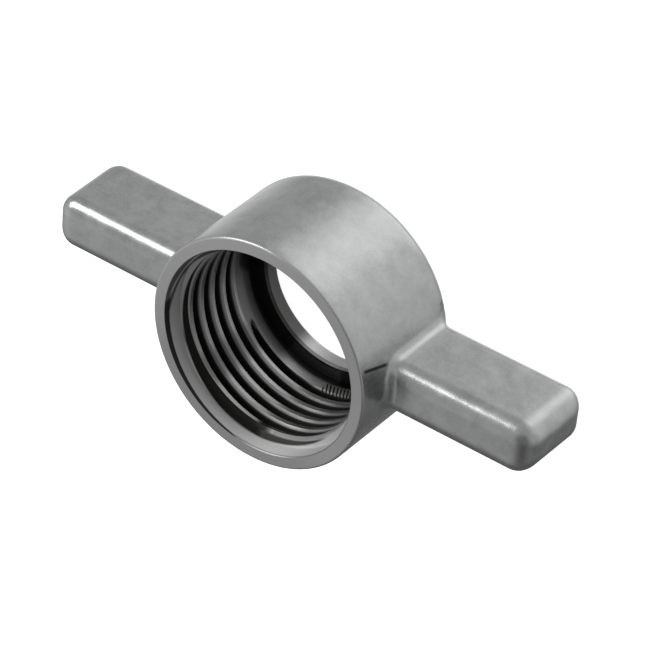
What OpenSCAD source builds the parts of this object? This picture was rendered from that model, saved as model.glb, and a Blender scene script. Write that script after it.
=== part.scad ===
// Beer line wing nut: one stainless casting with a machined mouth, thread and outlet.
// Z is the thread axis. The nut stands on its back face at z = 0 with its mouth up.
// The two wings reach out along X, and Y is across their thickness.

/* [Body] */
// Outside diameter of the body at its back
body_diameter = 26.4; // [24:0.1:34]
// Outside diameter of the body at its mouth, a little less for the casting draft
mouth_diameter = 26.2; // [24:0.1:34]
// Length of the body along the thread axis
nut_length = 15.3; // [12:0.1:24]
// Rounding of the outer edge at the back
back_edge_radius = 1.5; // [0.4:0.1:2.5]
// Rounding of the outer edge at the mouth
mouth_edge_radius = 0.25; // [0.1:0.05:0.8]

/* [Bore] */
// Diameter of the plain recess inside the mouth
counterbore_diameter = 23.2; // [23.1:0.1:24]
// Depth of the plain recess
counterbore_depth = 2.1; // [1:0.1:4]
// Small bevel at the inner edge of the mouth
mouth_chamfer = 0.1; // [0.05:0.05:0.5]
// Bevel that leads into the thread at the foot of the recess
lead_chamfer = 0.35; // [0.1:0.05:0.9]
// Thickness of the inward flange at the back, which pulls on the tail piece
flange_thickness = 1.9; // [1:0.1:4]
// Diameter of the outlet hole through the flange
outlet_diameter = 17.7; // [10:0.1:19.5]
// Bevel at both edges of the outlet hole
outlet_chamfer = 0.25; // [0.05:0.05:0.6]

/* [Thread] */
// Diameter at the roots of the thread groove
thread_major = 22.95; // [22.9:0.01:23.2]
// Diameter over the thread crests
thread_minor = 21.1; // [20.6:0.01:21.2]
// Distance from one groove to the next, 14 to the inch
thread_pitch = 1.8143; // [1:0.0001:2.5]
// Full angle between the flanks of the groove
thread_angle = 55; // [50:1:60]
// Width of the flat at the root of the groove
root_flat = 0.28; // [0.1:0.01:0.4]
// Extra radius of the plain run-out band over the thread crests
relief_step = 0.1; // [0.05:0.01:0.14]
// Length of the plain run-out band between the flange and the thread
relief_length = 2.1; // [1:0.1:4]
// How far the end of the groove reaches down into the run-out band
groove_overlap = 0.3; // [0.1:0.1:0.5]
// Direction in which the groove ends at the run-out, in degrees from the X axis
thread_end_angle = 216; // [0:1:360]
// Flat pieces to a turn of the groove
thread_steps = 48; // [24:1:60]

/* [Wings] */
// Distance from one wing tip to the other
wing_span = 60.2; // [45:0.1:90]
// Width of a wing along the thread axis
wing_width = 10.1; // [6:0.1:14]
// Thickness of a wing
wing_thickness = 5.9; // [4:0.1:10]
// Height of the wings' back side above the back face
wing_back_gap = 0.9; // [0:0.1:4]
// Rounding along the four long edges of a wing
wing_edge_radius = 1.6; // [0.5:0.1:2.8]
// Rounding of the wing tip, seen from the side
wing_tip_radius = 2.2; // [0.5:0.1:2.8]
// Hollow rounding where a wing meets the body
root_fillet = 1.1; // [0.4:0.1:2]

/* [Hidden] */
$fn = 64;
body_radius = body_diameter / 2;
mouth_radius = mouth_diameter / 2;
counterbore_radius = counterbore_diameter / 2;
outlet_radius = outlet_diameter / 2;
crest_radius = thread_minor / 2;
root_radius = thread_major / 2;
relief_radius = crest_radius + relief_step;
counterbore_floor = nut_length - counterbore_depth;
relief_top = flange_thickness + relief_length;

// thread groove: half its width at a radius, and where it starts and ends
flank_slope = tan(thread_angle / 2);
groove_inner = crest_radius - 0.35;
function groove_half(r) = root_flat / 2 + (root_radius - r) * flank_slope;
crest_half = groove_half(crest_radius);
groove_end_z = relief_top + crest_half - groove_overlap;
groove_start_z = counterbore_floor + crest_half + 0.1;
groove_turns = (groove_start_z - groove_end_z) / thread_pitch;
groove_steps = max(2, ceil(groove_turns * thread_steps));

// wings
wing_top = wing_back_gap + wing_width;
wing_mid = wing_back_gap + wing_width / 2;
edge_radius = min(wing_edge_radius, wing_thickness / 2 - 0.1, wing_width / 2 - 0.1);
tip_radius = min(wing_tip_radius, wing_thickness / 2 - 0.1, wing_width / 2 - 0.1);
wing_start = sqrt(pow(mouth_radius, 2) - pow(wing_thickness / 2, 2)) - 0.8;

// hollow rounding at the wing roots, set a hair into the wing and the body
fillet_bury = 0.02;
fillet_depth = 0.5;
fillet_turn = 6;
fillet_arc = 6;
fillet_corners = [[1, 1, 0], [-1, 1, 90], [-1, -1, 180], [1, -1, 270]];
fillet_radius = min(root_fillet, nut_length - wing_top - mouth_edge_radius);
function body_radius_at(z) = body_radius - (body_radius - mouth_radius) * z / nut_length;

function groove_point(step, r, side) = let (
        a = thread_end_angle + 360 * groove_turns * step / groove_steps,
        z = groove_end_z + (groove_start_z - groove_end_z) * step / groove_steps
    ) [r * cos(a), r * sin(a), z + side * groove_half(r)];

// one section of the hollow rounding: an arc from the wing to the body, closed inside them
function fillet_section(corner, a) = let (
        n = [0, cos(a), sin(a)],
        mid = [0, corner[0] * (wing_thickness / 2 - edge_radius), wing_mid + corner[1] * (wing_width / 2 - edge_radius)],
        ball = mid + n * (edge_radius + fillet_radius - fillet_bury),
        wall = body_radius_at(ball[2]),
        reach = wall + fillet_radius - fillet_bury,
        x = sqrt(pow(reach, 2) - pow(ball[1], 2)),
        centre = [x, ball[1], ball[2]],
        to_wall = [-x, -ball[1], 0] / reach,
        sweep = acos(-n * to_wall),
        inner = [(wall - fillet_depth) * x / reach, mid[1], mid[2]] + n * (edge_radius - fillet_depth)
    ) concat(
        [for (k = [0:fillet_arc]) let (t = k / fillet_arc)
            centre + fillet_radius * (-n * sin((1 - t) * sweep) + to_wall * sin(t * sweep)) / sin(sweep)],
        [inner]);

// outline of the body's section, from the axis outwards
module body_section() {
    polygon([
        [0, 0],
        [body_radius - back_edge_radius, 0],
        [body_radius - back_edge_radius, back_edge_radius],
        [body_radius, back_edge_radius],
        [mouth_radius, nut_length - mouth_edge_radius],
        [mouth_radius - mouth_edge_radius, nut_length - mouth_edge_radius],
        [mouth_radius - mouth_edge_radius, nut_length],
        [0, nut_length]
    ]);
    translate([body_radius - back_edge_radius, back_edge_radius]) circle(r = back_edge_radius);
    translate([mouth_radius - mouth_edge_radius, nut_length - mouth_edge_radius])
        circle(r = mouth_edge_radius);
}

// outline of the turned hollow, from the axis outwards
module bore_section() {
    polygon([
        [0, -1],
        [outlet_radius + outlet_chamfer + 1, -1],
        [outlet_radius, outlet_chamfer],
        [outlet_radius, flange_thickness - outlet_chamfer],
        [outlet_radius + outlet_chamfer, flange_thickness],
        [relief_radius, flange_thickness],
        [relief_radius, relief_top],
        [crest_radius, relief_top],
        [crest_radius, counterbore_floor - lead_chamfer],
        [crest_radius + lead_chamfer, counterbore_floor],
        [counterbore_radius, counterbore_floor],
        [counterbore_radius, nut_length - mouth_chamfer],
        [counterbore_radius + mouth_chamfer + 1, nut_length + 1],
        [0, nut_length + 1]
    ]);
}

// the thread groove as one coil to be taken out of the bore
module thread_groove() {
    ring = [[groove_inner, -1], [root_radius, -1], [root_radius, 1], [groove_inner, 1]];
    points = [for (i = [0:groove_steps]) for (p = ring) groove_point(i, p[0], p[1])];
    sides = [for (i = [0:groove_steps - 1]) for (j = [0:3]) let (k = (j + 1) % 4, b = 4 * i)
        each [[b + j, b + 4 + k, b + 4 + j], [b + j, b + k, b + 4 + k]]];
    last = 4 * groove_steps;
    polyhedron(points = points, faces = concat([[3, 2, 1, 0]], sides,
        [[last, last + 1, last + 2, last + 3]]));
}

// one wing towards +X, rounded along its edges and at its tip
module wing() {
    half_t = wing_thickness / 2;
    reach = wing_span / 2;
    intersection() {
        translate([wing_start, 0, wing_mid]) rotate([90, 0, 90])
            linear_extrude(height = reach - wing_start)
                rounded_rectangle(-half_t, half_t, -wing_width / 2, wing_width / 2, edge_radius);
        translate([0, half_t + 1, 0]) rotate([90, 0, 0])
            linear_extrude(height = wing_thickness + 2)
                rounded_rectangle(wing_start - 4, reach, wing_back_gap, wing_top, tip_radius);
        translate([0, 0, wing_back_gap - 1])
            linear_extrude(height = wing_width + 2)
                rounded_rectangle(wing_start - 4, reach, -half_t, half_t, tip_radius);
    }
}

module rounded_rectangle(x0, x1, y0, y1, r) {
    translate([x0 + r, y0]) square([x1 - x0 - 2 * r, y1 - y0]);
    translate([x0, y0 + r]) square([x1 - x0, y1 - y0 - 2 * r]);
    for (x = [x0 + r, x1 - r], y = [y0 + r, y1 - r]) translate([x, y]) circle(r = r);
}

// hollow rounding all round the root of the wing towards +X
module wing_fillet() {
    sections = [for (c = fillet_corners) for (i = [0:fillet_turn])
        fillet_section(c, c[2] + 90 * i / fillet_turn)];
    n = len(sections);
    m = fillet_arc + 2;
    points = [for (s = sections) each s];
    faces = [for (i = [0:n - 1]) for (j = [0:m - 1])
        let (a = i * m + j, b = i * m + (j + 1) % m, c = ((i + 1) % n) * m + j,
            d = ((i + 1) % n) * m + (j + 1) % m)
        each [[a, d, b], [a, c, d]]];
    difference() {
        polyhedron(points = points, faces = faces);
        translate([0, -body_radius, wing_back_gap - body_diameter])
            cube([body_diameter, body_diameter, body_diameter]);
    }
}

module wing_nut() {
    color("silver")
    difference() {
        union() {
            rotate_extrude() body_section();
            for (side = [0, 1]) mirror([side, 0, 0]) {
                wing();
                wing_fillet();
            }
        }
        rotate_extrude() bore_section();
        thread_groove();
    }
}

wing_nut();
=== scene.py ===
"""Beer line wing nut in cast and turned stainless steel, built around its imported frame."""

import math

import bmesh
import bpy
from bpy.props import FloatProperty, FloatVectorProperty, PointerProperty
from bpy.types import Operator, Panel, PropertyGroup
from mathutils import Euler, Matrix, Vector


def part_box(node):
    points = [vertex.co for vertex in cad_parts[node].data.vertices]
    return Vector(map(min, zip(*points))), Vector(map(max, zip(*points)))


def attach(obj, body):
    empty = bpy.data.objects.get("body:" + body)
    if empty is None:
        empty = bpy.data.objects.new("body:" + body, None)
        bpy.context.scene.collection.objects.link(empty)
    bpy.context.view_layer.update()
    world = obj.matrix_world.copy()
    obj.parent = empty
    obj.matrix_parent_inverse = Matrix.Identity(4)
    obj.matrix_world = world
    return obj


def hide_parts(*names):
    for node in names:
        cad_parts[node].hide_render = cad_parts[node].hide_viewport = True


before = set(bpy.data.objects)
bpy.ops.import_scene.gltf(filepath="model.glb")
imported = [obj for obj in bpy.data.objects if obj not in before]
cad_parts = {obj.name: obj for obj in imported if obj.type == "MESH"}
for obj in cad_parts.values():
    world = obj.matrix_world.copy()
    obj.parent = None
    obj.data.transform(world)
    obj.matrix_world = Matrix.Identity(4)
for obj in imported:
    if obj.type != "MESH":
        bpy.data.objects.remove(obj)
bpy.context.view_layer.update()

bl_info = {
    "name": "Beer Line Wing Nut",
    "version": (1, 0, 0),
    "blender": (4, 5, 0),
    "location": "View3D > Sidebar > Wing Nut",
    "description": "Builds a cast wing nut with a turned bore and thread round its packed frame",
    "category": "Add Mesh",
}

NUT_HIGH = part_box("wing_nut")[1]
MM = 0.001  # metres in a millimetre; the mesh is worked in millimetres and scaled at the end

# Mesh density
BODY_STEPS = 160  # columns round the body
WINDOW_COLUMNS = 20  # columns of the body that a wing's root takes the place of
BACK_ARC_STEPS = 6  # rows over the rounded back edge
MOUTH_ARC_STEPS = 5  # rows over the rounded mouth edge
WINDOW_SIDE_ROWS = 18  # rows from the back edge to the top of a wing's root
CORNER_STEPS = 6  # steps round each corner of a wing's section
SHORT_STEPS = 10  # steps over a wing's front or back side
LONG_STEPS = 22  # steps over a wing's top or bottom side
ROOT_BLEND_RINGS = 3  # rings over the body between the window and the hollow rounding
FILLET_STEPS = 7  # rings over the hollow rounding
WING_RINGS = 16  # rings along a wing
TIP_RINGS = 9  # rings over the rounding of its tip
SHARP_ANGLE = math.radians(32)

# Small lengths of the mesh, in millimetres
NEAR = 1e-3  # places closer than this are one
WELD_DISTANCE = 1e-4
CUT_DISTANCE = 1e-5
WINDOW_MARGIN = 1.0  # plain body between a wing's hollow rounding and the top of its window
PLAIN_ROWS = (1.2, 0.6)  # how far over the windows the two rows of the plain body lie
TIP_CORNER = 0.25  # rounding that is left at the corners of the tip's flat
FADE_WIDTH = 0.3  # share of its whole width that the groove has where it begins

# Fine forms in the finishes, in metres, and where nearly all values of a noise lie
MOTTLE_SIZE = 2 * MM
WAVE_SIZE, WAVE_DEPTH = 3 * MM, 0.075 * MM
PEEL_SIZE, PEEL_DEPTH = 0.4 * MM, 0.008 * MM
RING_SPACING, RING_DEPTH = 0.25 * MM, 0.007 * MM
NOISE_LOW, NOISE_HIGH = 0.3, 0.7
SMOOTHER, ROUGHER = 0.04, 0.06  # how far a finish's roughness strays either way
WALL_DULLNESS = 0.3  # roughness that tumbling adds in the mouth's recess
CHATTER_SPACING = 2.4  # degrees


def length_prop(name, description, default, **settings):
    """A length in metres, shown in the scene's units."""
    return FloatProperty(name=name, description=description, default=default, min=0.0,
                         precision=5, unit="LENGTH", **settings)


def linear_colour(hex_code, alpha=1.0):
    """An sRGB hex colour as the linear values that Blender works in."""
    channels = [int(hex_code[i:i + 2], 16) / 255 for i in (1, 3, 5)]
    return (*(c / 12.92 if c <= 0.04045 else ((c + 0.055) / 1.055) ** 2.4 for c in channels), alpha)


def colour_prop(name, description, hex_code):
    """A colour that is written as an sRGB hex code."""
    return FloatVectorProperty(name=name, description=description, subtype="COLOR", size=4,
                               min=0.0, max=1.0, default=linear_colour(hex_code))


class WingNutBodySizes(PropertyGroup):
    """The round body of the casting."""
    back_diameter: length_prop("Back diameter", "Outside diameter at the back face",
                               NUT_HIGH.y * 2)
    mouth_diameter: length_prop("Mouth diameter", "Outside diameter at the mouth", 0.0262)
    height: length_prop("Length", "Length along the thread axis", NUT_HIGH.z)
    back_radius: length_prop("Back edge radius", "Rounding of the outer edge at the back", 0.0015)
    mouth_radius: length_prop("Mouth edge radius", "Rounding of the outer edge at the mouth",
                              0.00025)


class WingNutBoreSizes(PropertyGroup):
    """The turned hollow of the nut."""
    recess_diameter: length_prop("Recess diameter", "Plain recess inside the mouth", 0.0232)
    recess_depth: length_prop("Recess depth", "Depth of the plain recess", 0.0021)
    shoulder_rise: length_prop("Shoulder rise", "Slope of the recess's floor up to its wall",
                               0.00022)
    mouth_bevel: length_prop("Mouth bevel", "Small bevel at the inner edge of the mouth", 0.0001)
    lead_bevel: length_prop("Lead bevel", "Bevel that leads into the thread", 0.00035)
    flange: length_prop("Flange thickness", "Inward flange at the back", 0.0019)
    outlet_diameter: length_prop("Outlet diameter", "Hole through the flange", 0.0177)
    outlet_bevel: length_prop("Outlet bevel", "Bevel at both edges of the outlet", 0.00025)


class WingNutThreadSizes(PropertyGroup):
    """The parallel pipe thread, 14 to the inch."""
    major_diameter: length_prop("Root diameter", "Over the roots of the groove", 0.02295)
    minor_diameter: length_prop("Crest diameter", "Over the crests between the grooves", 0.0211)
    pitch: length_prop("Pitch", "From one groove to the next", 0.0018143)
    flank_angle: FloatProperty(name="Flank angle", description="Full angle between the flanks",
                               default=math.radians(55), subtype="ANGLE")
    root_flat: length_prop("Root flat", "Width of the groove's floor", 0.00028)
    crest_bevel: length_prop("Crest bevel", "Broken edge beside each crest", 0.00007)
    relief_step: length_prop("Relief step", "How far the run-out band lies outside the crests",
                             0.0001)
    relief_length: length_prop("Relief length", "Plain run-out band at the foot", 0.0021)
    overlap: length_prop("Groove overlap", "How far the groove's end reaches into the band", 0.0003)
    end_angle: FloatProperty(name="Groove end", description="Direction in which the groove ends",
                             default=math.radians(216), subtype="ANGLE")
    fade_angle: FloatProperty(name="Groove fade", description="Turn over which the groove deepens",
                              default=math.radians(14), subtype="ANGLE")


class WingNutWingSizes(PropertyGroup):
    """The two wings that the nut is turned by."""
    span: length_prop("Span", "From one wing tip to the other", NUT_HIGH.x * 2)
    width: length_prop("Width", "Width of a wing along the thread axis", 0.0101)
    thickness: length_prop("Thickness", "Thickness of a wing", 0.0059)
    back_gap: length_prop("Back gap", "Height of the wings' back side over the back face", 0.0009)
    edge_radius: length_prop("Edge radius", "Rounding of the long edges", 0.0016)
    tip_radius: length_prop("Tip radius", "Rounding round the tip", 0.0022)
    tip_draft: length_prop("Tip draft", "How much shorter the wings are at the front", 0.00026)
    root_fillet: length_prop("Root fillet", "Hollow rounding where a wing meets the body", 0.0011)


class WingNutFinish(PropertyGroup):
    """Colours and roughness of the two finishes."""
    cast_colour: colour_prop("Cast steel", "Tumbled surface of the casting", "#BABCBB")
    turned_colour: colour_prop("Turned steel", "Machined surfaces", "#BCBDBC")
    # painted light: a lighter copy of the turned colour that makes the recess wall look more lit
    painted_light_recess_colour: colour_prop("Recess steel", "Recess wall, lighter as tumbling reaches it",
                               "#D8D9D8")
    # painted shade: the dark colour laid over the grooves, corners and patches of the bore, and the
    # streak on the body
    painted_shade_colour: colour_prop("Dark film", "Oil and oxide in the grooves and corners", "#2A2A28")
    cast_roughness: FloatProperty(name="Cast roughness", description="Roughness of the casting",
                                  default=0.27, min=0.0, max=1.0, subtype="FACTOR")
    turned_roughness: FloatProperty(name="Turned roughness",
                                    description="Roughness of the machined faces",
                                    default=0.36, min=0.0, max=1.0, subtype="FACTOR")


class WingNutStage(PropertyGroup):
    """Camera, lamps and floor."""
    lens: FloatProperty(name="Lens", description="Focal length on a 36 mm sensor", default=198.05,
                        unit="CAMERA")
    floor_size: length_prop("Floor size", "Side of the floor", 6.0)
    floor_colour: colour_prop("Floor", "Pale floor", "#F4F4F4")


class WingNutSettings(PropertyGroup):
    """Everything that the panel lists."""
    body: PointerProperty(type=WingNutBodySizes)
    bore: PointerProperty(type=WingNutBoreSizes)
    thread: PointerProperty(type=WingNutThreadSizes)
    wings: PointerProperty(type=WingNutWingSizes)
    finish: PointerProperty(type=WingNutFinish)
    stage: PointerProperty(type=WingNutStage)


class Sizes:
    """The settings as plain millimetres, with what follows from them."""

    def __init__(self, settings):
        body, bore = settings.body, settings.bore
        thread, wings = settings.thread, settings.wings
        self.back = body.back_diameter / 2 / MM
        self.mouth = body.mouth_diameter / 2 / MM
        self.height = body.height / MM
        self.back_edge = body.back_radius / MM
        self.mouth_edge = body.mouth_radius / MM
        self.recess = bore.recess_diameter / 2 / MM
        self.shoulder = self.height - bore.recess_depth / MM
        self.rise = bore.shoulder_rise / MM
        self.mouth_bevel = bore.mouth_bevel / MM
        self.lead = bore.lead_bevel / MM
        self.flange = bore.flange / MM
        self.outlet = bore.outlet_diameter / 2 / MM
        self.outlet_bevel = bore.outlet_bevel / MM
        self.root = thread.major_diameter / 2 / MM
        self.crest = thread.minor_diameter / 2 / MM
        self.pitch = thread.pitch / MM
        self.slope = math.tan(thread.flank_angle / 2)
        self.root_half = thread.root_flat / 2 / MM
        self.crest_bevel = thread.crest_bevel / MM
        self.crest_half = self.root_half + (self.root - self.crest) * self.slope
        self.relief = self.crest + thread.relief_step / MM
        self.relief_top = self.flange + thread.relief_length / MM
        self.groove_end = self.relief_top + self.crest_half - thread.overlap / MM
        self.end_turn = thread.end_angle / math.tau
        self.fade_turn = thread.fade_angle / math.tau
        self.reach = wings.span / 2 / MM
        self.half_width = wings.width / 2 / MM
        self.half_thick = wings.thickness / 2 / MM
        self.wing_back = wings.back_gap / MM
        self.wing_mid = self.wing_back + self.half_width
        self.edge = wings.edge_radius / MM
        self.tip = wings.tip_radius / MM
        self.draft = wings.tip_draft / MM
        self.fillet = wings.root_fillet / MM
        self.window_top = self.wing_mid + self.half_width + self.fillet + WINDOW_MARGIN

    def skin_radius(self, z):
        """Radius of the body's outside at a height."""
        return self.back + (self.mouth - self.back) * z / self.height

    def skin_point(self, angle, s):
        """A point of the body's outside, s along its section from where the back edge begins."""
        arc_length = self.back_edge * math.pi / 2
        if s < arc_length:
            turn = s / self.back_edge
            r = self.back - self.back_edge * (1 - math.sin(turn))
            z = self.back_edge * (1 - math.cos(turn))
        else:
            z = self.back_edge + s - arc_length
            r = self.skin_radius(z)
        return Vector((r * math.cos(angle), r * math.sin(angle), z))


# ---- the turned body -------------------------------------------------------------------

def arc(centre, radius, start, end, steps):
    """Points of an arc in the section plane, without its first."""
    angles = [start + (end - start) * i / steps for i in range(1, steps + 1)]
    return [(centre[0] + radius * math.cos(a), centre[1] + radius * math.sin(a)) for a in angles]


def body_section(s):
    """Half section of the nut, from the top of the thread outwards and round to its foot."""
    side_rows = [s.window_top + (s.back_edge - s.window_top) * i / WINDOW_SIDE_ROWS
                 for i in range(WINDOW_SIDE_ROWS + 1)]
    points = [
        (s.recess, s.shoulder + s.rise),
        (s.recess, s.height - s.mouth_bevel),
        (s.recess + s.mouth_bevel, s.height),
        (s.mouth - s.mouth_edge, s.height),
    ]
    points += arc((s.mouth - s.mouth_edge, s.height - s.mouth_edge), s.mouth_edge,
                  math.pi / 2, 0, MOUTH_ARC_STEPS)
    plain_rows = [s.window_top + over for over in PLAIN_ROWS]
    points += [(s.skin_radius(z), z) for z in plain_rows + side_rows]
    points += arc((s.back - s.back_edge, s.back_edge), s.back_edge, 0, -math.pi / 2, BACK_ARC_STEPS)
    points += [
        (s.outlet + s.outlet_bevel, 0),
        (s.outlet, s.outlet_bevel),
        (s.outlet, s.flange - s.outlet_bevel),
        (s.outlet + s.outlet_bevel, s.flange),
        (s.relief, s.flange),
        (s.relief, s.relief_top),
    ]
    return points


def section_chain(bm, points):
    """A chain of edges in the XZ plane."""
    verts = [bm.verts.new((r, 0, z)) for r, z in points]
    return verts + [bm.edges.new(pair) for pair in zip(verts, verts[1:])]


def spin_chain(bm, chain, rise=0.0):
    """One full turn of a chain round Z; with a rise it makes a coil."""
    return bmesh.ops.spin(bm, geom=chain, cent=(0, 0, 0), axis=(0, 0, 1),
                          dvec=(0, 0, rise / BODY_STEPS), angle=math.tau, space=Matrix.Identity(4),
                          steps=BODY_STEPS, use_merge=not rise, use_normal_flip=False,
                          use_duplicate=False)


def cut_level(bm, z, **clear):
    """Cuts the mesh along a level plane."""
    geom = bm.verts[:] + bm.edges[:] + bm.faces[:]
    bmesh.ops.bisect_plane(bm, geom=geom, dist=CUT_DISTANCE, plane_co=(0, 0, z),
                           plane_no=(0, 0, 1), **clear)


def thread_coil(bm, s):
    """The thread: one section of crests and grooves, spun with a rise of one pitch a turn."""
    first = s.groove_end - s.pitch * s.end_turn
    bevel_drop = s.crest_bevel * s.slope
    half_section = [
        (s.root_half, s.root),
        ((s.root_half + s.crest_half) / 2, (s.root + s.crest) / 2),
        (s.crest_half - bevel_drop, s.crest + s.crest_bevel),
        (s.crest_half + s.crest_bevel, s.crest),
    ]
    points = []
    for turn in range(-1, math.ceil((s.shoulder - first) / s.pitch) + 1):
        middle = first + s.pitch * turn
        points += [(r, middle - half) for half, r in reversed(half_section)]
        points += [(s.root, middle)]
        points += [(r, middle + half) for half, r in half_section]
        points += [(s.crest, middle + s.pitch / 2)]
    spin_chain(bm, section_chain(bm, points), rise=s.pitch)
    bmesh.ops.remove_doubles(bm, verts=bm.verts[:], dist=WELD_DISTANCE)
    for v in bm.verts:
        fade_groove(v, s)
    cut_level(bm, s.relief_top, clear_inner=True)
    cut_level(bm, s.shoulder, clear_outer=True)
    cut_level(bm, s.shoulder - s.lead)
    for v in bm.verts:
        bevelled = s.crest + max(0.0, v.co.z - s.shoulder + s.lead)
        radius = v.co.xy.length
        if radius < bevelled:
            v.co.xy *= bevelled / radius


def fade_groove(v, s):
    """Lets the groove grow out of the plain bore where the thread ends."""
    radius = v.co.xy.length
    turn = (math.atan2(v.co.y, v.co.x) / math.tau - s.end_turn) % 1.0
    whole = round((v.co.z - s.groove_end) / s.pitch - turn)
    along = whole + turn
    middle = s.groove_end + s.pitch * along
    depth = min(max(along / s.fade_turn, 0.0), 1.0)
    depth *= 2 - depth
    offset = v.co.z - middle
    if radius > s.crest + 1e-6 or abs(offset) < s.crest_half + 2 * s.crest_bevel:
        v.co.z = middle + offset * (FADE_WIDTH + (1 - FADE_WIDTH) * depth)
        v.co.xy *= (s.crest + (radius - s.crest) * depth) / radius


def open_ring(bm, z, high):
    """The open edges at a height whose ends lie within a radius."""
    return [e for e in bm.edges if e.is_boundary
            and all(abs(v.co.z - z) < NEAR and v.co.xy.length < high for v in e.verts)]


def join_thread(bm, s):
    """Closes the shoulder over the thread and the small step under it."""
    within, wall = s.root + 0.1, s.recess + 0.1
    shoulder = open_ring(bm, s.shoulder, within) + open_ring(bm, s.shoulder + s.rise, wall)
    bmesh.ops.bridge_loops(bm, edges=shoulder)
    bmesh.ops.bridge_loops(bm, edges=open_ring(bm, s.relief_top, within))


# ---- the wings -------------------------------------------------------------------------

def wing_section(half_thick, half_width, radius):
    """A wing's rounded section as (y, z, outward y, outward z).

    It starts at the middle of the front side."""
    points = []
    y, z = half_thick - radius, half_width - radius
    for i in range(SHORT_STEPS // 2):
        points.append((y * i / (SHORT_STEPS // 2), half_width, 0.0, 1.0))
    corners = ((y, z, 90, LONG_STEPS), (y, -z, 0, SHORT_STEPS),
               (-y, -z, -90, LONG_STEPS), (-y, z, -180, SHORT_STEPS // 2))
    for corner_y, corner_z, start, steps in corners:
        for i in range(CORNER_STEPS):
            a = math.radians(start - 90 * i / CORNER_STEPS)
            points.append((corner_y + radius * math.cos(a), corner_z + radius * math.sin(a),
                           math.cos(a), math.sin(a)))
        a = math.radians(start - 90)
        ny, nz = round(math.cos(a)), round(math.sin(a))
        from_y, from_z = corner_y + radius * ny, corner_z + radius * nz
        to_y = from_y if ny else -from_y if steps == SHORT_STEPS else 0.0
        to_z = -from_z if ny else from_z
        for i in range(steps):
            t = i / steps
            points.append((from_y + (to_y - from_y) * t, from_z + (to_z - from_z) * t, ny, nz))
    return points


def slerp(a, b, t):
    """Turns from one direction to another by a share of the angle between them."""
    angle = a.angle(b)
    return (a * math.sin((1 - t) * angle) + b * math.sin(t * angle)) / math.sin(angle)


def root_rings(s, border):
    """Rings of a wing's root: over the body to the hollow rounding, and over it to the wing."""
    rings = [[] for _ in range(ROOT_BLEND_RINGS + 1 + FILLET_STEPS)]
    arc_length = s.back_edge * math.pi / 2
    section = wing_section(s.half_thick, s.half_width, s.edge)
    for (y, z, ny, nz), (angle, along) in zip(section, border):
        ball_y, ball_z = y + ny * s.fillet, s.wing_mid + z + nz * s.fillet
        drop = max(0.0, s.back_edge - ball_z) / (s.back_edge + s.fillet)
        out = math.sqrt(1 - drop * drop)
        if drop:
            ball_r = s.back - s.back_edge + (s.back_edge + s.fillet) * out
            foot_along = s.back_edge * math.asin(out)
        else:
            ball_r = s.skin_radius(ball_z) + s.fillet
            foot_along = arc_length + ball_z - s.back_edge
        ball = Vector((math.sqrt(ball_r ** 2 - ball_y ** 2), ball_y, ball_z))
        foot_angle = math.atan2(ball.y, ball.x)
        foot = s.skin_point(foot_angle, foot_along)
        for i in range(ROOT_BLEND_RINGS + 1):
            t = (i + 1) / (ROOT_BLEND_RINGS + 1)
            rings[i].append(s.skin_point(angle + (foot_angle - angle) * t,
                                         along + (foot_along - along) * t))
        to_body, to_wing = (foot - ball).normalized(), Vector((0, -ny, -nz))
        for i in range(FILLET_STEPS):
            t = (i + 1) / FILLET_STEPS
            rings[ROOT_BLEND_RINGS + 1 + i].append(ball + s.fillet * slerp(to_body, to_wing, t))
    return rings


def wing_rings(s, root):
    """Rings from a wing's root along it and round its tip."""
    rings = []

    def reach_at(z):
        return s.reach - s.draft * (z - s.wing_back) / (2 * s.half_width)

    for i in range(1, WING_RINGS + 1):
        t = i / WING_RINGS
        rings.append([Vector((p.x + (reach_at(p.z) - s.tip - p.x) * t, p.y, p.z)) for p in root])
    for i in range(1, TIP_RINGS + 1):
        a = math.pi / 2 * i / TIP_RINGS
        inset = s.tip * (1 - math.cos(a))
        corner = s.edge - (s.edge - TIP_CORNER) * inset / s.tip
        section = wing_section(s.half_thick - inset, s.half_width - inset, corner)
        back = s.tip * (1 - math.sin(a))
        rings.append([Vector((reach_at(s.wing_mid + z) - back, y, s.wing_mid + z))
                      for y, z, _, _ in section])
    return rings


def extrude_ring(bm, ring, places):
    """Extrudes a closed ring of vertices and moves the new ones to their places."""
    edges = [bm.edges.get((a, b)) for a, b in zip(ring, ring[1:] + ring[:1])]
    made = bmesh.ops.extrude_edge_only(bm, edges=edges)["geom"]
    old = set(ring)
    moved = {}
    for v in (g for g in made if isinstance(g, bmesh.types.BMVert)):
        source = next(e.other_vert(v) for e in v.link_edges if e.other_vert(v) in old)
        moved[source] = v
    new_ring = [moved[v] for v in ring]
    for v, place in zip(new_ring, places):
        v.co = place
    return new_ring


def open_window(bm, s, side):
    """Takes the body's faces out where a wing grows, and gives the border in order.

    The order starts at the middle of the mouth side and goes round by +Y."""
    half_angle = math.pi * WINDOW_COLUMNS / BODY_STEPS
    faces = []
    for f in bm.faces:
        c = f.calc_center_median()
        outside = c.xy.length > s.back - s.back_edge + NEAR
        beside = abs(math.atan2(c.y, c.x * side)) < half_angle
        if outside and beside and NEAR < c.z < s.window_top:
            faces.append(f)
    bmesh.ops.delete(bm, geom=faces, context="FACES")
    border = {v for e in bm.edges if e.is_boundary for v in e.verts if v.co.x * side > 0}
    start = min(border, key=lambda v: (round(abs(v.co.y), 2), -v.co.z))
    ring = [start]
    follower = max((e.other_vert(start) for e in start.link_edges if e.is_boundary),
                   key=lambda v: v.co.y)
    while follower is not start:
        ring.append(follower)
        follower = next(v for e in ring[-1].link_edges if e.is_boundary
                        for v in (e.other_vert(ring[-1]),) if v is not ring[-2])
    return ring


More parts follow.
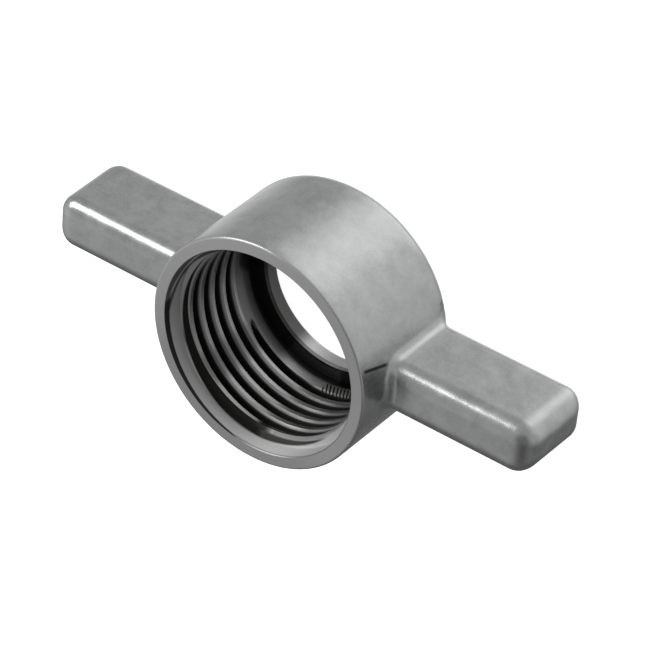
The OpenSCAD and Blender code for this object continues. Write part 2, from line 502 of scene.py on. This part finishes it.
def section_place(s, v, side):
    """Where a border vertex lies: its angle, and its distance along the body's section."""
    angle = math.atan2(v.co.y, v.co.x * side)
    if v.co.z < s.back_edge - 1e-6:
        along = s.back_edge * math.acos(1 - v.co.z / s.back_edge)
    else:
        along = s.back_edge * (math.pi / 2 - 1) + v.co.z
    return angle, along


def grow_wing(bm, s, side):
    """One wing, extruded ring by ring out of the body."""
    ring = open_window(bm, s, side)
    roots = root_rings(s, [section_place(s, v, side) for v in ring])
    for places in roots + wing_rings(s, roots[-1]):
        ring = extrude_ring(bm, ring, [Vector((p.x * side, p.y, p.z)) for p in places])
    bmesh.ops.contextual_create(bm, geom=ring + [bm.edges.get((a, b))
                                                 for a, b in zip(ring, ring[1:] + ring[:1])])


# ---- finishes --------------------------------------------------------------------------

def add_node(tree, kind, settings=None, inputs=None):
    """Adds a node; an input is a value, or a socket that is linked to it."""
    node = tree.nodes.new(kind)
    for name, value in (settings or {}).items():
        setattr(node, name, value)
    for name, value in (inputs or {}).items():
        if isinstance(value, bpy.types.NodeSocket):
            tree.links.new(value, node.inputs[name])
        else:
            node.inputs[name].default_value = value
    return node


def new_material(name):
    """An empty material and its node tree."""
    material = bpy.data.materials.new(name)
    material.use_nodes = True
    material.node_tree.nodes.clear()
    return material, material.node_tree


def cast_stainless(finish):
    """Investment cast stainless steel, shot blasted and tumbled: satin, faintly uneven."""
    material, tree = new_material("cast_tumbled_stainless")
    coords = add_node(tree, "ShaderNodeTexCoord").outputs["Object"]
    # mottling from the tumbling, which makes patches a little duller and darker than others
    mottle = add_node(tree, "ShaderNodeTexNoise", None,
                      {"Vector": coords, "Scale": 1 / MOTTLE_SIZE, "Detail": 5.0,
                       "Roughness": 0.75})
    roughness = add_node(tree, "ShaderNodeMapRange", None,
                         {"Value": mottle.outputs["Fac"],
                          "From Min": NOISE_LOW, "From Max": NOISE_HIGH,
                          "To Min": finish.cast_roughness - SMOOTHER,
                          "To Max": finish.cast_roughness + ROUGHER})
    tone = add_node(tree, "ShaderNodeMapRange", None,
                    {"Value": mottle.outputs["Fac"],
                     "From Min": NOISE_LOW, "From Max": NOISE_HIGH,
                     "To Min": 0.82, "To Max": 1.07})
    colour = add_node(tree, "ShaderNodeVectorMath", {"operation": "SCALE"},
                      {0: finish.cast_colour[:3], "Scale": tone.outputs["Result"]})
    # soft waves, which make the highlights wander, and the fine orange peel of the casting skin
    waves = add_node(tree, "ShaderNodeTexNoise", None,
                     {"Vector": coords, "Scale": 1 / WAVE_SIZE, "Detail": 1.0, "Roughness": 0.4})
    peel = add_node(tree, "ShaderNodeTexNoise", None,
                    {"Vector": coords, "Scale": 1 / PEEL_SIZE, "Detail": 3.0, "Roughness": 0.6})
    wavy = add_node(tree, "ShaderNodeBump", None,
                    {"Height": waves.outputs["Fac"], "Distance": WAVE_DEPTH, "Strength": 1.0})
    bump = add_node(tree, "ShaderNodeBump", None,
                    {"Height": peel.outputs["Fac"], "Distance": PEEL_DEPTH, "Strength": 1.0,
                     "Normal": wavy.outputs["Normal"]})
    # painted shade: a dark streak from the mouth down to the root of one wing, a painted dark
    # reflection of the wing root's shade; it leans by 1.19 degrees for each mm of height
    place, _, _ = place_round_axis(tree)
    lean = (0, -1.19, 1)
    painted_shade_streak = lay_patches(tree, place, 0.0, (
        (0.93, ((lean, -181.3, -180.1), (lean, -178.6, -179.5),
                (HEIGHT, 10.7, 11.5), (HEIGHT, 15.0, 14.4))),))
    colour = add_node(tree, "ShaderNodeMix", {"data_type": "RGBA"},
                      {"Factor": painted_shade_streak, 6: colour.outputs["Vector"], 7: finish.painted_shade_colour[:]})
    shader = add_node(tree, "ShaderNodeBsdfPrincipled", None,
                      {"Base Color": colour.outputs[2], "Metallic": 1.0,
                       "Roughness": roughness.outputs["Result"], "Normal": bump.outputs["Normal"]})
    add_node(tree, "ShaderNodeOutputMaterial", None, {"Surface": shader.outputs["BSDF"]})
    return material


# What a ramp of a painted patch runs along: the radius and the height in mm, the turn in degrees
# from the wing at -X by -Y, and the climb up the bore's section, which is radius and height
# together
RADIUS, HEIGHT, TURN, CLIMB = (1, 0, 0), (0, 1, 0), (0, 0, 1), (1, 1, 0)


def place_round_axis(tree):
    """A point's radius and height in mm and turn in degrees, and the first two apart."""
    coords = add_node(tree, "ShaderNodeTexCoord").outputs["Object"]
    scaled = add_node(tree, "ShaderNodeVectorMath", {"operation": "SCALE"},
                      {0: coords, "Scale": 1 / MM})
    parts = add_node(tree, "ShaderNodeSeparateXYZ", None, {"Vector": scaled.outputs["Vector"]})
    x, y, height = (parts.outputs[axis] for axis in "XYZ")
    flat = add_node(tree, "ShaderNodeCombineXYZ", None, {"X": x, "Y": y})
    radius = add_node(tree, "ShaderNodeVectorMath", {"operation": "LENGTH"},
                      {0: flat.outputs["Vector"]}).outputs["Value"]
    left, down = (add_node(tree, "ShaderNodeMath", {"operation": "MULTIPLY"},
                           {0: axis, 1: -1.0}).outputs["Value"] for axis in (x, y))
    turn = add_node(tree, "ShaderNodeMath", {"operation": "ARCTAN2"}, {0: down, 1: left})
    turn = add_node(tree, "ShaderNodeMath", {"operation": "DEGREES"}, {0: turn.outputs["Value"]})
    place = add_node(tree, "ShaderNodeCombineXYZ", None,
                     {"X": radius, "Y": height, "Z": turn.outputs["Value"]}).outputs["Vector"]
    return place, radius, height


def lay_patches(tree, place, mask, patches):
    """Adds patches to a mask and gives it back; each is a strength within ramps."""
    for strength, ramps in patches:
        patch = strength
        for weights, start, end in ramps:
            along = add_node(tree, "ShaderNodeVectorMath", {"operation": "DOT_PRODUCT"},
                             {0: place, 1: weights})
            ramp = add_node(tree, "ShaderNodeMapRange", {"interpolation_type": "SMOOTHSTEP"},
                            {"Value": along.outputs["Value"], "From Min": start, "From Max": end})
            patch = add_node(tree, "ShaderNodeMath", {"operation": "MULTIPLY"},
                             {0: patch, 1: ramp.outputs["Result"]}).outputs["Value"]
        mask = add_node(tree, "ShaderNodeMath", {"operation": "MAXIMUM"},
                        {0: mask, 1: patch}).outputs["Value"]
    return mask


def painted_shade_patches(s):
    """Where painted shade and dark reflections lie in the bore, besides the painted shade in the
    groove.

    Each patch has its strength and the ramps that bound it: what a ramp runs along, where it
    starts and where it ends. A ramp that starts above its end falls. A third number in what a
    ramp runs along makes the patch's border lean as it goes round the bore."""
    edge = s.crest + s.shoulder
    rim = s.recess + s.mouth_bevel
    falling = (1, 1, -0.062)
    on_land = (CLIMB, edge - 0.35, edge - 0.5)
    over_band = (HEIGHT, s.relief_top + 0.6, s.relief_top + 1.0)
    inside = (RADIUS, rim + 0.01, rim - 0.01)
    foot = (HEIGHT, s.flange + 1.2, s.flange + 0.6)
    round_outlet = (RADIUS, s.outlet + 0.2, s.outlet + 0.27)
    return (
        # painted shade in the corner between the thread and the recess, wider towards the lowest
        # side
        (1.0, ((CLIMB, edge - 0.42, edge - 0.30), ((1, 1, -0.018), edge + 0.40, edge + 0.20),
               (CLIMB, edge + 1.70, edge + 1.25), ((1, 1, 0.021), edge + 3.55, edge + 3.18),
               (TURN, 112, 86))),
        # painted shade on round on the shoulder alone, and weaker on the lead bevel there
        (0.92, ((CLIMB, edge + 0.24, edge + 0.40), ((1, 1, 0.021), edge + 3.50, edge + 3.18),
                (TURN, 84, 92), (TURN, 142, 125))),
        (0.78, ((CLIMB, edge - 0.7, edge - 0.4), (CLIMB, edge + 0.42, edge + 0.30),
                (TURN, 88, 98), (TURN, 132, 108))),
        # a blot over the first land
        (1.0, ((TURN, 81, 88), (TURN, 106, 90), (CLIMB, edge - 1.7, edge - 0.9),
               (CLIMB, edge + 0.4, edge + 0.3))),
        # painted shade under the mouth's inner edge, and in two bands over the upper side of the
        # recess wall
        (0.95, (((0, 1, -0.0078), s.height - 0.84, s.height - 0.68), inside, (TURN, -12, -2),
                (TURN, 86, 78))),
        (0.80, ((falling, edge + 2.05, edge + 2.30), (falling, edge + 2.80, edge + 2.55),
                inside)),
        (0.70, ((falling, edge + 3.10, edge + 3.35), inside)),
        (0.45, ((HEIGHT, s.height - s.mouth_bevel - 0.20, s.height - s.mouth_bevel - 0.05),
                inside, (TURN, 74, 84))),
        # painted dark reflections over the lands, and painted dimming of the lamp's glints on them
        (0.60, ((TURN, 26, 40), (TURN, 62, 48), on_land, over_band)),
        (0.22, ((TURN, 5, 15), on_land, over_band)),
        (0.62, ((TURN, 76, 92), (TURN, 130, 112), on_land, over_band)),
        # painted shade over the run-out band but for its bare, lowest part
        (0.70, ((HEIGHT, s.relief_top + 1.5, s.relief_top + 0.8), (TURN, 74, 58))),
        (0.82, ((HEIGHT, s.relief_top + 0.5, s.relief_top - 0.6), (TURN, 74, 58))),
        (0.97, (((0, 5.5, 1), 38, 22), (HEIGHT, s.relief_top + 1.6, s.relief_top), round_outlet)),
        # painted shade in the corner under the band and over the flange, darkest round the outlet
        (0.88, (foot, round_outlet)),
        (0.97, (foot, round_outlet, (TURN, 74, 60))),
        (0.97, (foot, round_outlet, (TURN, 92, 100))),
        (0.97, (foot, round_outlet, (RADIUS, s.outlet + 0.7, s.outlet + 0.45))),
        # painted shade, thin, on the mouth ring's lower half
        (0.14, ((HEIGHT, s.height - 0.05, s.height - 0.01), (TURN, 5, 30), (TURN, 140, 115))),
    )


def turned_stainless(finish, s):
    """Turned stainless steel: fine rings across which its reflections stretch, painted shade in the
    grooves and corners, and a recess wall lightened as painted light."""
    material, tree = new_material("turned_stainless")
    place, radius, height = place_round_axis(tree)
    # painted shade in the groove, by the depth under the bore and its lead bevel
    cone = add_node(tree, "ShaderNodeMath", {"operation": "SUBTRACT"},
                    {0: height, 1: s.shoulder - s.lead})
    cone = add_node(tree, "ShaderNodeMath", {"operation": "MAXIMUM"},
                    {0: cone.outputs["Value"], 1: 0.0})
    depth = add_node(tree, "ShaderNodeMath", {"operation": "SUBTRACT"},
                     {0: radius, 1: cone.outputs["Value"]})
    painted_groove_shade = add_node(tree, "ShaderNodeMapRange", {"interpolation_type": "SMOOTHSTEP"},
                    {"Value": depth.outputs["Value"],
                     "From Min": s.crest + 0.02, "From Max": s.crest + 0.36})
    # but not near its mouth on the upper side
    mouth = lay_patches(tree, place, 0.0, (
        (1.0, ((HEIGHT, s.shoulder - 1.1, s.shoulder - 0.8), (TURN, 32, 12))),
        (1.0, ((HEIGHT, s.shoulder - 0.03, s.shoulder - 0.01),))))
    below = add_node(tree, "ShaderNodeMath", {"operation": "SUBTRACT"}, {0: 1.0, 1: mouth})
    mask = add_node(tree, "ShaderNodeMath", {"operation": "MULTIPLY"},
                    {0: painted_groove_shade.outputs["Result"], 1: below.outputs["Value"]}).outputs["Value"]
    # chatter marks, which lean a little, at one end of the bare part of the run-out band
    along = add_node(tree, "ShaderNodeVectorMath", {"operation": "DOT_PRODUCT"},
                     {0: place, 1: (0, -3, 1)})
    marks = add_node(tree, "ShaderNodeMath", {"operation": "PINGPONG"},
                     {0: along.outputs["Value"], 1: CHATTER_SPACING / 2})
    marks = add_node(tree, "ShaderNodeMapRange", {"interpolation_type": "SMOOTHSTEP"},
                     {"Value": marks.outputs["Value"], "From Min": 0.4, "From Max": 0.8})
    chatter = (marks.outputs["Result"], ((TURN, 92, 95),
                                         (HEIGHT, s.relief_top + 0.6, s.relief_top + 0.3),
                                         (HEIGHT, s.flange + 0.9, s.flange + 1.1)))
    mask = lay_patches(tree, place, mask, (*painted_shade_patches(s), chatter))
    # feed rings along the bore's section, coarser than real ones so that they show
    path = add_node(tree, "ShaderNodeMath", {"operation": "ADD"}, {0: radius, 1: height})
    rings = add_node(tree, "ShaderNodeTexNoise", {"noise_dimensions": "1D"},
                     {"W": path.outputs["Value"], "Scale": MM / RING_SPACING, "Detail": 3.0})
    roughness = add_node(tree, "ShaderNodeMapRange", None,
                         {"Value": rings.outputs["Fac"],
                          "From Min": NOISE_LOW, "From Max": NOISE_HIGH,
                          "To Min": finish.turned_roughness - SMOOTHER,
                          "To Max": finish.turned_roughness + ROUGHER})
    # the recess wall and the shoulder are duller, as tumbling reaches them, and lighter as painted
    # light
    wall = lay_patches(tree, place, 0.0, ((1.0, ((HEIGHT, s.shoulder - 0.05, s.shoulder),
                                              (RADIUS, s.recess + 0.05, s.recess + 0.01))),))
    dull = add_node(tree, "ShaderNodeMath", {"operation": "MULTIPLY_ADD"},
                    {0: wall, 1: WALL_DULLNESS, 2: roughness.outputs["Result"]})
    bump = add_node(tree, "ShaderNodeBump", None,
                    {"Height": rings.outputs["Fac"], "Distance": RING_DEPTH, "Strength": 1.0})
    tangent = add_node(tree, "ShaderNodeTangent", {"direction_type": "RADIAL", "axis": "Z"})
    # painted light: the recess wall and shoulder take a lighter copy of the turned colour
    colour = add_node(tree, "ShaderNodeMix", {"data_type": "RGBA"},
                      {"Factor": wall, 6: finish.turned_colour[:], 7: finish.painted_light_recess_colour[:]})
    # painted shade: the dark colour over the grooves, corners and patches, with the chatter marks
    colour = add_node(tree, "ShaderNodeMix", {"data_type": "RGBA"},
                      {"Factor": mask, 6: colour.outputs[2], 7: finish.painted_shade_colour[:]})
    shader = add_node(tree, "ShaderNodeBsdfPrincipled", None,
                      {"Base Color": colour.outputs[2], "Metallic": 1.0,
                       "Roughness": dull.outputs["Value"], "Anisotropic": 0.7,
                       "Anisotropic Rotation": 0.25,
                       "Normal": bump.outputs["Normal"], "Tangent": tangent.outputs["Tangent"]})
    add_node(tree, "ShaderNodeOutputMaterial", None, {"Surface": shader.outputs["BSDF"]})
    return material


def mark_finishes(bm, s):
    """Gives the machined faces the second material and keeps crisp edges crisp."""
    for f in bm.faces:
        c = f.calc_center_median()
        f.smooth = True
        in_bore = c.xy.length < s.recess + s.mouth_bevel and c.z > NEAR
        f.material_index = 1 if in_bore or c.z > s.height - s.mouth_edge + NEAR else 0
    for e in bm.edges:
        e.smooth = e.calc_face_angle(0.0) < SHARP_ANGLE


class WINGNUT_OT_make_nut(Operator):
    """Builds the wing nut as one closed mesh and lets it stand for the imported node"""
    bl_idname = "wingnut.make_nut"
    bl_label = "Make Wing Nut"
    bl_options = {"REGISTER", "UNDO"}

    def execute(self, context):
        settings = context.scene.wing_nut
        s = Sizes(settings)
        bm = bmesh.new()
        thread_coil(bm, s)
        spin_chain(bm, section_chain(bm, body_section(s)))
        join_thread(bm, s)
        for side in (1, -1):
            grow_wing(bm, s, side)
        bmesh.ops.recalc_face_normals(bm, faces=bm.faces[:])
        mark_finishes(bm, s)
        loose = [e for e in bm.edges if not e.is_manifold]
        if loose:
            raise RuntimeError(f"the nut isn't closed at {len(loose)} edges")
        bmesh.ops.scale(bm, vec=(MM, MM, MM), verts=bm.verts[:])
        mesh = bpy.data.meshes.new("cast_wing_nut")
        bm.to_mesh(mesh)
        bm.free()
        nut = bpy.data.objects.new("cast_wing_nut", mesh)
        context.scene.collection.objects.link(nut)
        mesh.materials.append(cast_stainless(settings.finish))
        mesh.materials.append(turned_stainless(settings.finish, s))
        weighted = nut.modifiers.new("Face weighted normals", "WEIGHTED_NORMAL")
        weighted.keep_sharp = True
        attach(nut, "root")
        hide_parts("wing_nut")
        return {"FINISHED"}


# ---- stage -----------------------------------------------------------------------------

# The camera that was fitted to the photograph: metres, and degrees about X, Y and Z
CAMERA_PLACE = (0.15885, 0.21670, 0.24600)
CAMERA_TURN = (-34.152, 36.318, 5.184)
SENSOR_WIDTH = 36.0  # mm
CLIP_START, CLIP_END = 0.01, 20.0  # metres

# Soft boxes: name, where from, distance, width and height in metres, watts
LAMPS = (
    ("key_softbox", (-0.66, 0.60, 0.43), 0.60, 0.39, 0.28, 1.3),
)

# What the floor glows with towards the camera, so that with its own light it comes to white
FLOOR_GLOW = 0.87

# The studio that the steel reflects: its plain level, and soft patches of more or less light as
# where from, degrees to where the patch begins to fade, degrees to where it ends, strength
STUDIO_LEVEL = 0.52
STUDIO_PATCHES = (
    ((0.02, 0.57, -0.82), 10, 32, 0.60),
    ((0.43, 0.52, -0.73), 22, 45, 0.28),
    ((0.13, -0.98, -0.12), 28, 72, -0.37),
    ((-0.46, -0.05, -0.89), 35, 46, 0.10),
    ((0.55, -0.12, 0.78), 18, 48, -0.30),
    ((-0.43, -0.30, -0.85), 6, 30, 0.45),
    ((-0.55, 0.45, -0.70), 10, 40, -0.08),
    ((-0.80, -0.40, 0.45), 5, 33, 0.20),
    ((0.72, -0.18, -0.67), 6, 18, 0.15),
    ((-0.80, -0.08, -0.60), 8, 28, -0.09),
)


def make_camera(stage):
    """The camera at the photograph's viewing angle."""
    data = bpy.data.cameras.new("photo_camera")
    data.sensor_width = SENSOR_WIDTH
    data.lens = stage.lens
    data.clip_start, data.clip_end = CLIP_START, CLIP_END
    camera = bpy.data.objects.new("photo_camera", data)
    camera.location = CAMERA_PLACE
    camera.rotation_euler = Euler([math.radians(a) for a in CAMERA_TURN])
    bpy.context.scene.collection.objects.link(camera)
    bpy.context.scene.camera = camera


def make_lamp(name, direction, distance, width, height, watts):
    """A soft box that looks at the nut from a direction."""
    data = bpy.data.lights.new(name, "AREA")
    data.shape = "RECTANGLE"
    data.size, data.size_y = width, height
    data.energy = watts
    lamp = bpy.data.objects.new(name, data)
    direction = Vector(direction).normalized()
    lamp.location = direction * distance
    lamp.rotation_euler = direction.to_track_quat("Z", "Y").to_euler()
    bpy.context.scene.collection.objects.link(lamp)


def make_floor(stage):
    """A pale floor that takes the nut's shadow, and is neither reflected nor casts a shadow."""
    bm = bmesh.new()
    bmesh.ops.create_grid(bm, x_segments=1, y_segments=1, size=stage.floor_size / 2)
    mesh = bpy.data.meshes.new("floor")
    bm.to_mesh(mesh)
    bm.free()
    floor = bpy.data.objects.new("floor", mesh)
    bpy.context.scene.collection.objects.link(floor)
    material, tree = new_material("pale_floor")
    path = add_node(tree, "ShaderNodeLightPath")
    seen = add_node(tree, "ShaderNodeMath", {"operation": "MAXIMUM"},
                    {0: path.outputs["Is Camera Ray"], 1: path.outputs["Is Transmission Ray"]})
    lift = add_node(tree, "ShaderNodeMath", {"operation": "MULTIPLY"},
                    {0: seen.outputs["Value"], 1: FLOOR_GLOW})
    diffuse = add_node(tree, "ShaderNodeBsdfDiffuse", None, {"Color": stage.floor_colour[:]})
    glow = add_node(tree, "ShaderNodeEmission", None, {"Strength": lift.outputs["Value"]})
    mixed = add_node(tree, "ShaderNodeAddShader", None, {0: diffuse.outputs["BSDF"],
                                                         1: glow.outputs["Emission"]})
    add_node(tree, "ShaderNodeOutputMaterial", None, {"Surface": mixed.outputs["Shader"]})
    mesh.materials.append(material)
    floor.visible_glossy = False
    floor.visible_shadow = False


def make_world():
    """White all round for the camera, and a pale grey studio for what the steel reflects."""
    world = bpy.data.worlds.new("studio")
    world.use_nodes = True
    tree = world.node_tree
    tree.nodes.clear()
    path = add_node(tree, "ShaderNodeLightPath")
    look = add_node(tree, "ShaderNodeTexCoord").outputs["Generated"]
    level = 0.0
    for where, inner, outer, strength in STUDIO_PATCHES:
        toward = add_node(tree, "ShaderNodeVectorMath", {"operation": "DOT_PRODUCT"},
                          {0: look, 1: Vector(where).normalized()})
        patch = add_node(tree, "ShaderNodeMapRange", {"interpolation_type": "SMOOTHSTEP"},
                         {"Value": toward.outputs["Value"],
                          "From Min": math.cos(math.radians(outer)),
                          "From Max": math.cos(math.radians(inner)), "To Max": strength})
        level = add_node(tree, "ShaderNodeMath", {"operation": "ADD"},
                         {0: level, 1: patch.outputs["Result"]}).outputs["Value"]
    # what reflects sees the pale studio with its soft patches, and what is dull its plain level
    reflected = add_node(tree, "ShaderNodeMath", {"operation": "MULTIPLY"},
                         {0: level, 1: path.outputs["Is Glossy Ray"]})
    level = add_node(tree, "ShaderNodeMath", {"operation": "ADD"},
                     {0: reflected.outputs["Value"], 1: STUDIO_LEVEL})
    around = add_node(tree, "ShaderNodeBackground", None,
                      {"Color": (1, 1, 1, 1), "Strength": level.outputs["Value"]})
    # the camera sees white all round, also through glass
    white = add_node(tree, "ShaderNodeBackground", None, {"Color": (1, 1, 1, 1), "Strength": 1.0})
    seen = add_node(tree, "ShaderNodeMath", {"operation": "MAXIMUM"},
                    {0: path.outputs["Is Camera Ray"], 1: path.outputs["Is Transmission Ray"]})
    mixed = add_node(tree, "ShaderNodeMixShader", None,
                     {0: seen.outputs["Value"], 1: around.outputs["Background"],
                      2: white.outputs["Background"]})
    add_node(tree, "ShaderNodeOutputWorld", None, {"Surface": mixed.outputs["Shader"]})
    bpy.context.scene.world = world


class WINGNUT_OT_make_stage(Operator):
    """Sets the camera, the soft lamps, the pale floor and the white surround"""
    bl_idname = "wingnut.make_stage"
    bl_label = "Make Stage"
    bl_options = {"REGISTER", "UNDO"}

    def execute(self, context):
        stage = context.scene.wing_nut.stage
        make_camera(stage)
        for lamp in LAMPS:
            make_lamp(*lamp)
        make_floor(stage)
        make_world()
        context.scene.view_settings.view_transform = "Standard"
        return {"FINISHED"}


class WINGNUT_PT_panel(Panel):
    """Lists the sizes, the finishes and the stage, with a button for each part of the work"""
    bl_idname = "WINGNUT_PT_panel"
    bl_label = "Wing Nut"
    bl_space_type = "VIEW_3D"
    bl_region_type = "UI"
    bl_category = "Wing Nut"

    def draw(self, context):
        settings = context.scene.wing_nut
        for group_name in ("body", "bore", "thread", "wings", "finish", "stage"):
            box = self.layout.box()
            box.label(text=group_name.capitalize())
            group = getattr(settings, group_name)
            for prop_name in group.__annotations__:
                box.prop(group, prop_name)
        self.layout.operator(WINGNUT_OT_make_nut.bl_idname)
        self.layout.operator(WINGNUT_OT_make_stage.bl_idname)


CLASSES = (
    WingNutBodySizes,
    WingNutBoreSizes,
    WingNutThreadSizes,
    WingNutWingSizes,
    WingNutFinish,
    WingNutStage,
    WingNutSettings,
    WINGNUT_OT_make_nut,
    WINGNUT_OT_make_stage,
    WINGNUT_PT_panel,
)


def register():
    for cls in CLASSES:
        bpy.utils.register_class(cls)
    bpy.types.Scene.wing_nut = PointerProperty(type=WingNutSettings)


def unregister():
    del bpy.types.Scene.wing_nut
    for cls in reversed(CLASSES):
        bpy.utils.unregister_class(cls)


def main():
    register()
    bpy.ops.wingnut.make_nut()
    bpy.ops.wingnut.make_stage()


if __name__ == "__main__":
    main()
